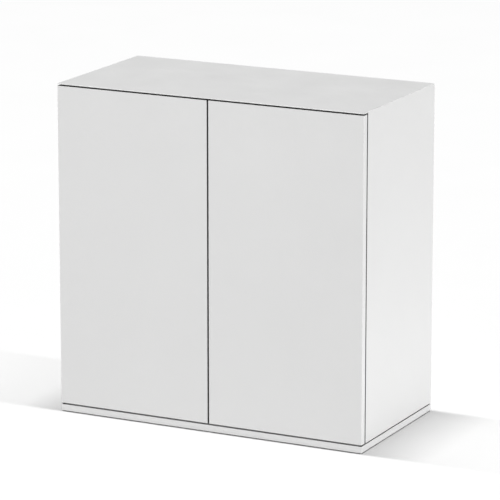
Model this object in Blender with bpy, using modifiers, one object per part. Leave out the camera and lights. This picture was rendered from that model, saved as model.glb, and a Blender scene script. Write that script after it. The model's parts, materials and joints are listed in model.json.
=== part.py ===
"""Aquarium stand cabinet: two handleless doors on a melamine board carcass.

Metres, +Z up. The origin is on the floor under the middle of the cabinet, the doors face -Y
and the cabinet's right is +X.
"""

from math import cos, hypot, pi, sin, sqrt

import bmesh
import bpy

# Outer size.
WIDTH = 0.800
DEPTH = 0.400
HEIGHT = 0.808

# Boards.
BOARD = 0.018
BASE_BOARD = 0.016
SHELF_BOARD = 0.016
BACK_BOARD = 0.008
ARRIS = 0.0006
ARRIS_STEPS = 2
SMALL_CHAMFER = 0.0004
OVERSHOOT = 0.010

# Gaps between boards.
TOUCH = 0.0003
DOOR_GAP = 0.003
DOORS_APART = 0.003
DOOR_TO_CARCASS = 0.004
TOP_LIP = 0.002
SHADOW_HIGH = 0.003
SHADOW_DEEP = 0.006
SHELF_PLAY = 0.0015
BACK_REBATE = 0.008
MITRE_PAST = 0.004

# Glides.
GLIDE_ROWS = (("front", -0.165), ("back", 0.165))
GLIDE_COLUMNS = (("left", -0.360), ("middle", 0.0), ("right", 0.360))
GLIDE_HIGH = 0.002
GLIDE_R = 0.012
GLIDE_STEM_R = 0.005
GLIDE_STEM_LONG = 0.0075

# Places worked out from the sizes above.
HALF_W = WIDTH / 2
HALF_D = DEPTH / 2
INNER_X = HALF_W - BOARD
BASE_TOP = GLIDE_HIGH + BASE_BOARD
FLOOR_Z = BASE_TOP + TOUCH
TOP_UNDER = HEIGHT - BOARD
DOOR_BACK_Y = -HALF_D + BOARD
CARCASS_Y = DOOR_BACK_Y + DOOR_TO_CARCASS
DOOR_LOW_Z = BASE_TOP + DOOR_GAP
DOOR_HIGH_Z = HEIGHT - TOP_LIP - DOOR_GAP
BACK_X = INNER_X + BACK_REBATE
BACK_Y = HALF_D - BACK_BOARD - TOUCH
BACK_REBATE_Y = BACK_Y - TOUCH
BACK_TOP_Z = TOP_UNDER + BACK_REBATE
PARTITION_X = BOARD / 2

# Shelves and the pins that carry them.
SHELF_Z = 0.388
SHELF_FRONT_Y = -0.150
SHELF_BACK_Y = 0.186
PIN_YS = (-0.120, 0.130)
PIN_PITCH = 0.032
PIN_ROWS = (-1, 0, 1)
PIN_R = 0.0024
PIN_HOLE_R = 0.0027
PIN_HOLE_DEEP = 0.008
PIN_PAD = (0.009, 0.010, 0.0032)
PIN_Z = SHELF_Z - PIN_R - 0.0005
PIN_SIDES = 12

# Openings in the back.
HOSE_X = 0.270
HOSE_Z = 0.690
HOSE_R = 0.030
CABLE_X = 0.190
CABLE_Z = 0.085
CABLE_R = 0.020
RING_WALL = 0.0022
RING_FLANGE = 0.006
RING_FLANGE_THICK = 0.002
RING_INNER_CHAMFER = 0.0008
RING_OUTER_CHAMFER = 0.0012

# Concealed hinges: two on each door. The one fixed axis lies inside the door's outer edge.
HINGE_ZS = (DOOR_LOW_Z + 0.100, DOOR_HIGH_Z - 0.100)
AXIS_X = HALF_W - 0.0065
AXIS_Y = DOOR_BACK_Y - 0.0085
CUP_X = HALF_W - 0.0225
CUP_R = 0.0173
CUP_INNER_R = 0.0162
CUP_DEEP = 0.0119
CUP_FLOOR = 0.0011
CUP_RIM = 0.0013
CUP_RIM_R = 0.0182
CUP_WING_LONG = 0.062
CUP_WING_WIDE = 0.015
CUP_BORE_R = 0.0176
CUP_BORE_DEEP = 0.0123
PLATE_THICK = 0.003
PLATE_Y = CARCASS_Y + 0.037
PLATE_HALF_LONG = 0.024
PLATE_HALF_WIDE = 0.0075
PLATE_WING_HALF_WIDE = 0.008
PLATE_WING_THIN = 0.001
PLATE_ARRIS = 0.0005
PLATE_SCREW_OUT = 0.016
PLATE_SCREW_R = 0.0026
ARM_HIGH = 0.0104
ARM_HALF_WIDE = 0.0085
ARM_WALL = 0.0013
ARM_BACK_Y = -0.116
ARM_OPEN_Y = -0.1605
ARM_CHIN = 0.012
ARM_SCREWS_OUT = (0.014, -0.006)
ARM_SCREW_R = 0.003
NOSE_STEPS = 8
LINK_X = 0.3788
LINK_Y = -0.1761
LINK_LONG = 0.0211
LINK_ANGLE = 225.7 * pi / 180
LINK_BULGE = 0.0093
LINK_CREST = 0.47
LINK_HALF_THICK = 0.0009
LINK_HALF_WIDE = 0.005
LINK_EYE_R = 0.0025
LINK_BORE_R = 0.0017
LINK_PIN_R = 0.00145
LINK_STEPS = 12
PIVOT_SIDES = 16
NOSE_R = 0.0029

# Push-to-open latches on the partition.
LATCH_X = 0.0168
LATCH_Z = 0.7675
LATCH_WIDE = 0.0148
LATCH_FRONT_Y = -0.1755
LATCH_BACK_Y = -0.105
LATCH_BORE_R = 0.0043
LATCH_BORE_SPARE = 0.014
LATCH_ARRIS = 0.001
PLUNGER_R = 0.0038
PLUNGER_LONG = 0.050
PLUNGER_CHAMFER = 0.0006
STRIKE_R = 0.0078
STRIKE_THICK = 0.0012

# Soft bumpers on the doors.
BUMPER_X = 0.0054
BUMPER_R = 0.003
BUMPER_ZS = (0.060, 0.735)
BUMPER_THICK = 0.0031
BUMPER_CROWN = 0.6


def clear_scene():
    for obj in list(bpy.data.objects):
        bpy.data.objects.remove(obj, do_unlink=True)


def new_collection(name):
    collection = bpy.data.collections.new(name)
    bpy.context.scene.collection.children.link(collection)
    return collection


def material(name, colour, roughness, metallic=0.0):
    made = bpy.data.materials.new(name)
    made.use_nodes = True
    shader = made.node_tree.nodes["Principled BSDF"]
    shader.inputs["Base Color"].default_value = (*colour, 1.0)
    shader.inputs["Roughness"].default_value = roughness
    shader.inputs["Metallic"].default_value = metallic
    made.diffuse_color = (*colour, 1.0)
    return made


def add_object(name, mesh, location, look):
    """Links a mesh as a visible part, or as a cutter where it has no material."""
    obj = bpy.data.objects.new(name, mesh)
    obj.location = location
    if look is None:
        cutters.objects.link(obj)
        obj.hide_render = True
        obj.display_type = "WIRE"
    else:
        cabinet.objects.link(obj)
        mesh.materials.append(look)
    return obj


def mesh_from(name, shape):
    bmesh.ops.recalc_face_normals(shape, faces=shape.faces)
    mesh = bpy.data.meshes.new(name)
    shape.to_mesh(mesh)
    shape.free()
    return mesh


def box(name, low, high, look=None, arris=0.0):
    """A board or block between two corners, with rounded arrises where asked."""
    size = [high[i] - low[i] for i in range(3)]
    centre = [(high[i] + low[i]) / 2 for i in range(3)]
    shape = bmesh.new()
    bmesh.ops.create_cube(shape, size=1.0)
    bmesh.ops.scale(shape, vec=size, verts=shape.verts)
    obj = add_object(name, mesh_from(name, shape), centre, look)
    if arris:
        bevel = obj.modifiers.new("arris", "BEVEL")
        bevel.width = arris
        bevel.segments = ARRIS_STEPS
    return obj


def side_box(name, side, low, high, look=None, arris=0.0):
    """A box given for the right of the cabinet, and mirrored for the left."""
    xs = sorted((side * low[0], side * high[0]))
    return box(name, (xs[0], *low[1:]), (xs[1], *high[1:]), look, arris)


def turn_to(obj, axis):
    """Points an upright turned piece along an axis."""
    obj.rotation_euler = {
        "+Z": (0, 0, 0),
        "+Y": (-pi / 2, 0, 0),
        "+X": (0, pi / 2, 0),
    }[axis]


def rod(name, centre, axis, radius, length, sides=24):
    """A round bar to cut a hole with, or to join on."""
    shape = bmesh.new()
    bmesh.ops.create_cone(
        shape, cap_ends=True, segments=sides, radius1=radius, radius2=radius, depth=length
    )
    obj = add_object(name, mesh_from(name, shape), centre, None)
    turn_to(obj, axis)
    return obj


def turned(name, profile, location, axis, look, steps=24, ring=False):
    """A profile of (radius, height) turned about its own axis. Its outer side runs downwards."""
    mesh = bpy.data.meshes.new(name)
    points = [(radius, 0, height) for radius, height in profile]
    edges = [(i, i + 1) for i in range(len(points) - 1)]
    if ring:
        edges.append((len(points) - 1, 0))
    mesh.from_pydata(points, edges, [])
    obj = add_object(name, mesh, location, look)
    turn_to(obj, axis)
    screw = obj.modifiers.new("turn", "SCREW")
    screw.steps = steps
    screw.render_steps = steps
    screw.use_merge_vertices = True
    screw.merge_threshold = 0.00001
    return obj


def slab(name, outline, middle, thickness, across, look=None):
    """A flat outline with a thickness: across Z its points are (x, y), across Y they are (x, z)."""
    curve = bpy.data.curves.new(name, "CURVE")
    curve.dimensions = "2D"
    curve.fill_mode = "BOTH"
    curve.extrude = thickness / 2
    spline = curve.splines.new("POLY")
    spline.points.add(len(outline) - 1)
    for point, (u, v) in zip(spline.points, outline):
        point.co = (u, v, 0, 1)
    spline.use_cyclic_u = True
    drawn = bpy.data.objects.new(name + "_outline", curve)
    bpy.context.scene.collection.objects.link(drawn)
    bpy.context.view_layer.update()
    graph = bpy.context.evaluated_depsgraph_get()
    mesh = bpy.data.meshes.new_from_object(drawn.evaluated_get(graph))
    bpy.data.objects.remove(drawn, do_unlink=True)
    shape = bmesh.new()
    shape.from_mesh(mesh)
    bmesh.ops.remove_doubles(shape, verts=shape.verts, dist=0.00001)
    location = (0, 0, middle) if across == "Z" else (0, middle, 0)
    made = add_object(name, mesh_from(name, shape), location, look)
    if across == "Y":
        made.rotation_euler = (pi / 2, 0, 0)
    return made


def cut(obj, cutter, operation="DIFFERENCE"):
    boolean = obj.modifiers.new(cutter.name, "BOOLEAN")
    boolean.operation = operation
    boolean.object = cutter


def hold(obj, axis_empty):
    """Makes a piece turn with the door whose hinge axis the empty stands on."""
    obj.parent = axis_empty
    obj.location = obj.location - axis_empty.location


def hand(side):
    return "right" if side > 0 else "left"


def make_base_board():
    low = (-HALF_W, -HALF_D, GLIDE_HIGH)
    high = (HALF_W, HALF_D, BASE_TOP)
    base = box("base_board", low, high, melamine, ARRIS)
    stem_top = GLIDE_HIGH + GLIDE_STEM_LONG
    hole_top = stem_top + TOUCH
    flange_top = GLIDE_HIGH - TOUCH
    profile = (
        (0, stem_top),
        (GLIDE_STEM_R, stem_top),
        (GLIDE_STEM_R, flange_top),
        (GLIDE_R - SMALL_CHAMFER, flange_top),
        (GLIDE_R, flange_top - SMALL_CHAMFER),
        (GLIDE_R, SMALL_CHAMFER),
        (GLIDE_R - SMALL_CHAMFER, 0),
        (0, 0),
    )
    for row, y in GLIDE_ROWS:
        for column, x in GLIDE_COLUMNS:
            place = (x, y, hole_top / 2)
            name = f"glide_hole_{row}_{column}"
            cut(base, rod(name, place, "+Z", GLIDE_STEM_R + TOUCH, hole_top))
            turned(f"glide_{row}_{column}", profile, (x, y, 0), "+Z", dark_plastic, steps=16)


def back_rebate(name):
    """The step in the sides and top that the back panel lies in."""
    low = (-BACK_X - TOUCH, BACK_REBATE_Y, 0)
    high = (BACK_X + TOUCH, HALF_D + OVERSHOOT, BACK_TOP_Z + TOUCH)
    return box(name, low, high)


def pin_holes(panel, side, face_x):
    """Rows of holes for shelf pins in a panel's face."""
    for y in PIN_YS:
        for row in PIN_ROWS:
            z = PIN_Z + row * PIN_PITCH
            name = f"pin_hole_{panel.name}_{hand(side)}_{y}_{row}"
            hole = rod(name, (face_x, y, z), "+X", PIN_HOLE_R, 2 * PIN_HOLE_DEEP, PIN_SIDES)
            cut(panel, hole)


def make_side_panel(side):
    middle = (CARCASS_Y + HALF_D) / 2
    mitre = TOUCH * sqrt(2)
    outline = (
        (INNER_X, FLOOR_Z),
        (HALF_W - SHADOW_DEEP, FLOOR_Z),
        (HALF_W - SHADOW_DEEP, BASE_TOP + SHADOW_HIGH),
        (HALF_W, BASE_TOP + SHADOW_HIGH),
        (HALF_W, HEIGHT - mitre),
        (INNER_X, TOP_UNDER - mitre),
    )
    outline = [(side * x, z) for x, z in outline]
    name = f"{hand(side)}_side_panel"
    panel = slab(name, outline, middle, HALF_D - CARCASS_Y, "Y", melamine)
    cut(panel, back_rebate(f"{name}_rebate"))
    pin_holes(panel, side, side * INNER_X)


def make_top_panel():
    low = (-HALF_W, -HALF_D, TOP_UNDER)
    high = (HALF_W, HALF_D, HEIGHT)
    top = box("top_panel", low, high, melamine, ARRIS)
    front = box(
        "top_front_rebate",
        (-HALF_W - OVERSHOOT, -HALF_D - OVERSHOOT, TOP_UNDER - OVERSHOOT),
        (HALF_W + OVERSHOOT, CARCASS_Y, HEIGHT - TOP_LIP),
    )
    cut(top, front)
    cut(top, back_rebate("top_back_rebate"))
    low_y = CARCASS_Y - TOUCH
    high_y = HALF_D + OVERSHOOT
    for side in (-1, 1):
        wedge = (
            (INNER_X - MITRE_PAST, TOP_UNDER - MITRE_PAST),
            (HALF_W + MITRE_PAST, HEIGHT + MITRE_PAST),
            (HALF_W + MITRE_PAST, TOP_UNDER - MITRE_PAST),
        )
        wedge = [(side * x, z) for x, z in wedge]
        middle = (low_y + high_y) / 2
        cut(top, slab(f"mitre_{hand(side)}", wedge, middle, high_y - low_y, "Y"))


def make_partition():
    low = (-PARTITION_X, CARCASS_Y, FLOOR_Z)
    high = (PARTITION_X, BACK_REBATE_Y, TOP_UNDER - TOUCH)
    partition = box("centre_partition", low, high, melamine, ARRIS)
    for side in (-1, 1):
        pin_holes(partition, side, side * PARTITION_X)


def make_back():
    low = (-BACK_X, BACK_Y, FLOOR_Z)
    high = (BACK_X, BACK_Y + BACK_BOARD, BACK_TOP_Z)
    back = box("back_panel", low, high, back_white, ARRIS)
    for side in (-1, 1):
        ring_in_back(back, f"{hand(side)}_hose_grommet", side * HOSE_X, HOSE_Z, HOSE_R)
        ring_in_back(back, f"{hand(side)}_cable_grommet", side * CABLE_X, CABLE_Z, CABLE_R)


def ring_in_back(back, name, x, z, radius):
    """A round opening in the back, and the flanged ring pressed into it from inside."""
    middle = BACK_Y + BACK_BOARD / 2
    cut(back, rod(f"{name}_hole", (x, middle, z), "+Y", radius, BACK_BOARD + OVERSHOOT))
    outer = radius - TOUCH
    inner = outer - RING_WALL
    flange = outer + RING_FLANGE
    step = -TOUCH
    face = step - RING_FLANGE_THICK
    profile = (
        (inner, BACK_BOARD),
        (outer, BACK_BOARD),
        (outer, step),
        (flange, step),
        (flange, face + RING_INNER_CHAMFER),
        (flange - RING_OUTER_CHAMFER, face),
        (inner + RING_INNER_CHAMFER, face),
        (inner, face + RING_INNER_CHAMFER),
    )
    turned(name, profile, (x, BACK_Y, z), "+Y", grommet_black, steps=24, ring=True)


def make_shelf(side):
    low = (PARTITION_X + SHELF_PLAY, SHELF_FRONT_Y, SHELF_Z)
    high = (INNER_X - SHELF_PLAY, SHELF_BACK_Y, SHELF_Z + SHELF_BOARD)
    side_box(f"{hand(side)}_shelf", side, low, high, melamine, ARRIS)
    for row, y in zip(("front", "back"), PIN_YS):
        shelf_pin(f"{hand(side)}_shelf_pin_{row}_outer", side * INNER_X, y, -side)
        shelf_pin(f"{hand(side)}_shelf_pin_{row}_inner", side * PARTITION_X, y, side)


def shelf_pin(name, face_x, y, inward):
    """A plug in the panel's hole with a flat pad under the shelf. inward is +1 or -1 along X."""
    pad_x, pad_y, pad_z = PIN_PAD
    top_z = SHELF_Z - TOUCH
    near = face_x + inward * TOUCH
    xs = sorted((near, near + inward * pad_x))
    low = (xs[0], y - pad_y / 2, top_z - pad_z)
    high = (xs[1], y + pad_y / 2, top_z)
    pin = box(name, low, high, zinc, SMALL_CHAMFER)
    stem_long = PIN_HOLE_DEEP - 0.0005 + pad_x / 2
    stem_x = near + inward * (pad_x / 2 - stem_long / 2)
    stem = rod(f"{name}_stem", (stem_x, y, PIN_Z), "+X", PIN_R, stem_long, PIN_SIDES)
    cut(pin, stem, "UNION")


def make_door(side):
    """A door with its cups, bumpers and strike plate, all held by the empty on its axis."""
    name = f"{hand(side)}_door"
    axis_empty = bpy.data.objects.new(f"{name}_axis", None)
    axis_empty.location = (side * AXIS_X, AXIS_Y, 0)
    cabinet.objects.link(axis_empty)
    low = (DOORS_APART / 2, -HALF_D, DOOR_LOW_Z)
    high = (HALF_W, DOOR_BACK_Y, DOOR_HIGH_Z)
    door = side_box(name, side, low, high, melamine, ARRIS)
    hold(door, axis_empty)
    for level, z in zip(("lower", "upper"), HINGE_ZS):
        place = (side * CUP_X, DOOR_BACK_Y, z)
        bore = rod(f"{name}_bore_{level}", place, "+Y", CUP_BORE_R, 2 * CUP_BORE_DEEP)
        cut(door, bore)
        hold(hinge_cup(f"{name}_{level}_hinge_cup", place), axis_empty)
    for level, z in zip(("lower", "upper"), BUMPER_ZS):
        profile = (
            (0, BUMPER_THICK),
            (BUMPER_R * BUMPER_CROWN, BUMPER_THICK),
            (BUMPER_R, BUMPER_THICK * BUMPER_CROWN),
            (BUMPER_R, 0),
            (0, 0),
        )
        place = (side * BUMPER_X, DOOR_BACK_Y + TOUCH, z)
        bumper = turned(f"{name}_{level}_bumper", profile, place, "+Y", clear_pad, steps=16)
        hold(bumper, axis_empty)
    profile = (
        (0, STRIKE_THICK),
        (STRIKE_R - SMALL_CHAMFER, STRIKE_THICK),
        (STRIKE_R, STRIKE_THICK - SMALL_CHAMFER),
        (STRIKE_R, 0),
        (0, 0),
    )
    place = (side * LATCH_X, DOOR_BACK_Y + TOUCH, LATCH_Z)
    hold(turned(f"{name}_strike_plate", profile, place, "+Y", zinc, steps=24), axis_empty)


def hinge_cup(name, place):
    """The pressed cup with its rim and screw wings. Its mouth faces the cabinet's back."""
    rim_low = TOUCH
    rim_top = rim_low + CUP_RIM
    profile = (
        (0, -CUP_DEEP + CUP_FLOOR),
        (CUP_INNER_R, -CUP_DEEP + CUP_FLOOR),
        (CUP_INNER_R, rim_top),
        (CUP_RIM_R, rim_top),
        (CUP_RIM_R, rim_low),
        (CUP_R, rim_low),
        (CUP_R, -CUP_DEEP),
        (0, -CUP_DEEP),
    )
    cup = turned(name, profile, place, "+Y", nickel, steps=24)
    x, y, z = place
    low = (x - CUP_WING_WIDE / 2, y + rim_low, z - CUP_WING_LONG / 2)
    high = (x + CUP_WING_WIDE / 2, y + rim_top, z + CUP_WING_LONG / 2)
    wings = box(f"{name}_wings", low, high)
    corner = wings.modifiers.new("corners", "BEVEL")
    corner.width = SMALL_CHAMFER
    corner.segments = 1
    cut(cup, wings, "UNION")
    mouth_y = y + CUP_DEEP / 2 - 2 * CUP_FLOOR
    mouth = rod(f"{name}_mouth", (x, mouth_y, z), "+Y", CUP_INNER_R, CUP_DEEP)
    cut(cup, mouth)
    return cup


def link_outline():
    """The gooseneck in the hinge's own plane, from its eye to its free end."""
    half = LINK_HALF_THICK
    middle = []
    for i in range(LINK_STEPS + 1):
        s = i / LINK_STEPS
        if s < LINK_CREST:
            rise = sin(pi / 2 * s / LINK_CREST)
        else:
            rise = cos(pi / 2 * (s - LINK_CREST) / (1 - LINK_CREST))
        middle.append((s * LINK_LONG, LINK_BULGE * rise))
    left, right = [], []
    for i, (u, v) in enumerate(middle):
        before = middle[max(i - 1, 0)]
        after = middle[min(i + 1, LINK_STEPS)]
        du, dv = after[0] - before[0], after[1] - before[1]
        long = hypot(du, dv)
        left.append((u - dv / long * half, v + du / long * half))
        right.append((u + dv / long * half, v - du / long * half))
    return left + right[::-1]


def place_link_point(side, u, v):
    """u runs from the eye to the free end, v towards the inside of the cabinet."""
    along = (cos(LINK_ANGLE), sin(LINK_ANGLE))
    inward = (along[1], -along[0])
    x = LINK_X + u * along[0] + v * inward[0]
    y = LINK_Y + u * along[1] + v * inward[1]
    return side * x, y


def make_hinge(side, level, z):
    """The link, mounting plate and arm of one hinge."""
    name = f"{hand(side)}_{level}_hinge"
    hinge_link(name, side, z)
    plate_x = hinge_plate(name, side, z)
    hinge_arm(name, side, z, plate_x - TOUCH)


def hinge_link(name, side, z):
    """The moving gooseneck, with an eye on the arm's pin."""
    outline = [place_link_point(side, u, v) for u, v in link_outline()]
    place = (side * LINK_X, LINK_Y, z)
    link = slab(f"{name}_link", outline, z, 2 * LINK_HALF_WIDE, "Z", nickel)
    cut(link, rod(f"{name}_eye", place, "+Z", LINK_EYE_R, 2 * LINK_HALF_WIDE), "UNION")
    bore_long = 2 * LINK_HALF_WIDE + OVERSHOOT
    cut(link, rod(f"{name}_bore", place, "+Z", LINK_BORE_R, bore_long, PIVOT_SIDES))


def hinge_plate(name, side, z):
    """The screwed-on cross plate. Returns the distance of its inner face from the middle."""
    face_x = INNER_X - TOUCH
    plate_x = face_x - PLATE_THICK
    low = (plate_x, PLATE_Y - PLATE_HALF_LONG, z - PLATE_HALF_WIDE)
    high = (face_x, PLATE_Y + PLATE_HALF_LONG, z + PLATE_HALF_WIDE)
    plate = side_box(f"{name}_plate", side, low, high, nickel, PLATE_ARRIS)
    low = (plate_x + PLATE_WING_THIN, PLATE_Y - PLATE_WING_HALF_WIDE, z - PLATE_HALF_LONG)
    high = (face_x, PLATE_Y + PLATE_WING_HALF_WIDE, z + PLATE_HALF_LONG)
    cut(plate, side_box(f"{name}_plate_wings", side, low, high), "UNION")
    middle_x = side * (face_x - PLATE_THICK / 2)
    for end in (-1, 1):
        place = (middle_x, PLATE_Y, z + end * PLATE_SCREW_OUT)
        hole = rod(f"{name}_hole_{end}", place, "+X", PLATE_SCREW_R, OVERSHOOT, PIVOT_SIDES)
        cut(plate, hole)
    return plate_x


def hinge_arm(name, side, z, arm_x):
    """The channel over the plate, forked at the front to hold the link's pin."""
    web_x = arm_x - ARM_HIGH
    outline = [(arm_x, ARM_BACK_Y), (web_x, ARM_BACK_Y), (web_x, ARM_OPEN_Y)]
    for i in range(NOSE_STEPS + 1):
        turn = pi + i * pi / NOSE_STEPS
        outline.append((LINK_X + NOSE_R * cos(turn), LINK_Y + NOSE_R * sin(turn)))
    outline.append((arm_x, LINK_Y + ARM_CHIN))
    outline = [(side * x, y) for x, y in outline]
    arm = slab(f"{name}_arm", outline, z, 2 * ARM_HALF_WIDE, "Z", nickel)
    inner_z = ARM_HALF_WIDE - ARM_WALL
    low = (web_x + ARM_WALL, ARM_OPEN_Y - ARM_WALL, z - inner_z)
    high = (arm_x + OVERSHOOT, ARM_BACK_Y + OVERSHOOT, z + inner_z)
    cut(arm, side_box(f"{name}_arm_channel", side, low, high))
    low = (web_x - OVERSHOOT, LINK_Y - OVERSHOOT, z - inner_z)
    high = (arm_x + OVERSHOOT, ARM_OPEN_Y, z + inner_z)
    cut(arm, side_box(f"{name}_arm_fork", side, low, high))
    place = (side * LINK_X, LINK_Y, z)
    pin_long = 2 * ARM_HALF_WIDE - ARM_WALL
    pin = rod(f"{name}_pin", place, "+Z", LINK_PIN_R, pin_long, PIVOT_SIDES)
    cut(arm, pin, "UNION")
    for out in ARM_SCREWS_OUT:
        place = (side * web_x, PLATE_Y + out, z)
        hole = rod(f"{name}_arm_hole_{out}", place, "+X", ARM_SCREW_R, 4 * ARM_WALL, PIVOT_SIDES)
        cut(arm, hole)


def make_latch(side):
    name = f"{hand(side)}_latch"
    half = LATCH_WIDE / 2
    low = (LATCH_X - half, LATCH_FRONT_Y, LATCH_Z - half)
    high = (LATCH_X + half, LATCH_BACK_Y, LATCH_Z + half)
    housing = side_box(f"{name}_housing", side, low, high, latch_grey, LATCH_ARRIS)
    bore_long = PLUNGER_LONG + LATCH_BORE_SPARE
    middle_y = LATCH_FRONT_Y + bore_long / 2 - TOUCH
    place = (side * LATCH_X, middle_y, LATCH_Z)
    cut(housing, rod(f"{name}_bore", place, "+Y", LATCH_BORE_R, bore_long))
    tip_y = DOOR_BACK_Y + 2 * TOUCH + STRIKE_THICK
    profile = (
        (0, PLUNGER_LONG),
        (PLUNGER_R, PLUNGER_LONG),
        (PLUNGER_R, PLUNGER_CHAMFER),
        (PLUNGER_R - PLUNGER_CHAMFER, 0),
        (0, 0),
    )
    place = (side * LATCH_X, tip_y, LATCH_Z)
    turned(f"{name}_plunger", profile, place, "+Y", plunger_white, steps=20)


clear_scene()
cabinet = new_collection("aquarium_stand_cabinet")
cutters = new_collection("cutters")
cutters.hide_render = True

melamine = material("white_melamine", (0.72, 0.72, 0.72), 0.42)
back_white = material("white_backing_board", (0.68, 0.68, 0.67), 0.6)
dark_plastic = material("glide_plastic", (0.10, 0.10, 0.10), 0.6)
grommet_black = material("grommet_plastic", (0.05, 0.05, 0.055), 0.5)
zinc = material("zinc_plate", (0.62, 0.63, 0.65), 0.35, 1.0)
nickel = material("nickel_plate", (0.66, 0.65, 0.62), 0.25, 1.0)
latch_grey = material("latch_plastic", (0.42, 0.43, 0.44), 0.5)
plunger_white = material("plunger_plastic", (0.75, 0.75, 0.74), 0.4)
clear_pad = material("bumper_pad", (0.75, 0.76, 0.76), 0.3)

make_base_board()
make_top_panel()
make_partition()
make_back()
for hand_side in (-1, 1):
    make_side_panel(hand_side)
    make_shelf(hand_side)
    make_door(hand_side)
    make_latch(hand_side)
    for hinge_level, hinge_z in zip(("lower", "upper"), HINGE_ZS):
        make_hinge(hand_side, hinge_level, hinge_z)
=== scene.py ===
import json
import math

import bmesh
import bpy
from mathutils import Matrix, Vector

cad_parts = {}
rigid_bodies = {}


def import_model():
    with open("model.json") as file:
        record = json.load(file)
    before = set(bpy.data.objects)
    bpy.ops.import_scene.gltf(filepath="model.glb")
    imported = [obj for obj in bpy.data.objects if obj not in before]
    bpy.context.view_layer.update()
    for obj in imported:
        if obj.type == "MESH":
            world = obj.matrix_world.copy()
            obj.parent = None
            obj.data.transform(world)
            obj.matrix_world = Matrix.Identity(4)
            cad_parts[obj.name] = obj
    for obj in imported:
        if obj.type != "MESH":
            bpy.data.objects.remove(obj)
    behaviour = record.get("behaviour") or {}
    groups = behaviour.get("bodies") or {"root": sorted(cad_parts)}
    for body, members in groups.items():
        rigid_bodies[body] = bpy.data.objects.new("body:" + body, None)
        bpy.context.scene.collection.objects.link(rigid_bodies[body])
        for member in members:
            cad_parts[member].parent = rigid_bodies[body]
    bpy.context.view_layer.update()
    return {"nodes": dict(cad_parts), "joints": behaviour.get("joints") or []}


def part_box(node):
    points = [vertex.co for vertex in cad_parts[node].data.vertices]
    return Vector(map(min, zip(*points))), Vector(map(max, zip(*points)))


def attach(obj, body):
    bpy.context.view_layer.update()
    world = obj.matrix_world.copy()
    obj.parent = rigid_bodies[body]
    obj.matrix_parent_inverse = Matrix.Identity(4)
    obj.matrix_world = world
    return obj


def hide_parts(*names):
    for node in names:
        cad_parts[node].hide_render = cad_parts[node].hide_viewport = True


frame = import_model()

# ---- Base board ----------------------------------------------------------------------------
# A 16 mm particleboard faced on both sides with white melamine, as wide and deep as the whole
# cabinet. Its four edges carry a glued white band, scraped to a small radius after gluing. A
# strip of painted shade in grey lies on its top where the sides stand, and blind holes
# underneath take six glides.

BAND_RADIUS = 0.0012
BAND_STEPS = 4
SMOOTH_ANGLE = math.radians(30)
BOARD_WHITE = 0.665
BAND_WHITE = BOARD_WHITE * 1.01
GAP_SHADE_GREY = 0.14
OVERCUT = 0.010
SIDES = {"left": -1, "right": 1}
X_AXIS = Vector((1, 0, 0))
Y_AXIS = Vector((0, 1, 0))
Z_AXIS = Vector((0, 0, 1))


def put(tree, kind, settings=None, **sockets):
    """One shader node. Settings are its own choices, sockets its inputs, as values or links."""
    node = tree.nodes.new(kind)
    for name, value in (settings or {}).items():
        setattr(node, name, value)
    for name, value in sockets.items():
        socket = node.inputs[name.replace("_", " ")]
        if isinstance(value, bpy.types.NodeSocket):
            tree.links.new(value, socket)
        else:
            socket.default_value = value
    return node


def blend_colours(tree, share, first, second):
    """Runs from one colour to another as share runs from 0 to 1."""
    ramp = tree.nodes.new("ShaderNodeValToRGB")
    tree.links.new(share, ramp.inputs[0])
    ramp.color_ramp.elements[0].color = (*first, 1)
    ramp.color_ramp.elements[1].color = (*second, 1)
    return ramp.outputs[0]


def grains(tree, place, scale, detail=3.0, roughness=0.5):
    """A cloudy texture with so many lumps to the metre."""
    node = put(tree, "ShaderNodeTexNoise", Scale=scale, Detail=detail, Roughness=roughness)
    tree.links.new(place, node.inputs["Vector"])
    return node.outputs[0]


def between(tree, share, low, high):
    """Stretches a cloud's middle half over a range of values."""
    cloud_low, cloud_high = 0.3, 0.7
    node = put(tree, "ShaderNodeMapRange", Value=share, From_Min=cloud_low, From_Max=cloud_high)
    node.inputs["To Min"].default_value = low
    node.inputs["To Max"].default_value = high
    return node.outputs[0]


def raise_by(tree, shader, height, depth, strength=1.0, under=None):
    """Gives the surface a relief of that depth in metres, on top of another one if named."""
    bump = put(tree, "ShaderNodeBump", Height=height, Distance=depth, Strength=strength)
    if under is not None:
        tree.links.new(under, bump.inputs["Normal"])
    tree.links.new(bump.outputs[0], shader.inputs["Normal"])
    return bump.outputs[0]


def new_finish(name, metallic=0.0):
    finish = bpy.data.materials.new(name)
    finish.use_nodes = True
    tree = finish.node_tree
    shader = tree.nodes["Principled BSDF"]
    shader.inputs["Metallic"].default_value = metallic
    place = put(tree, "ShaderNodeTexCoord").outputs["Object"]
    return finish, tree, shader, place


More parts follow.
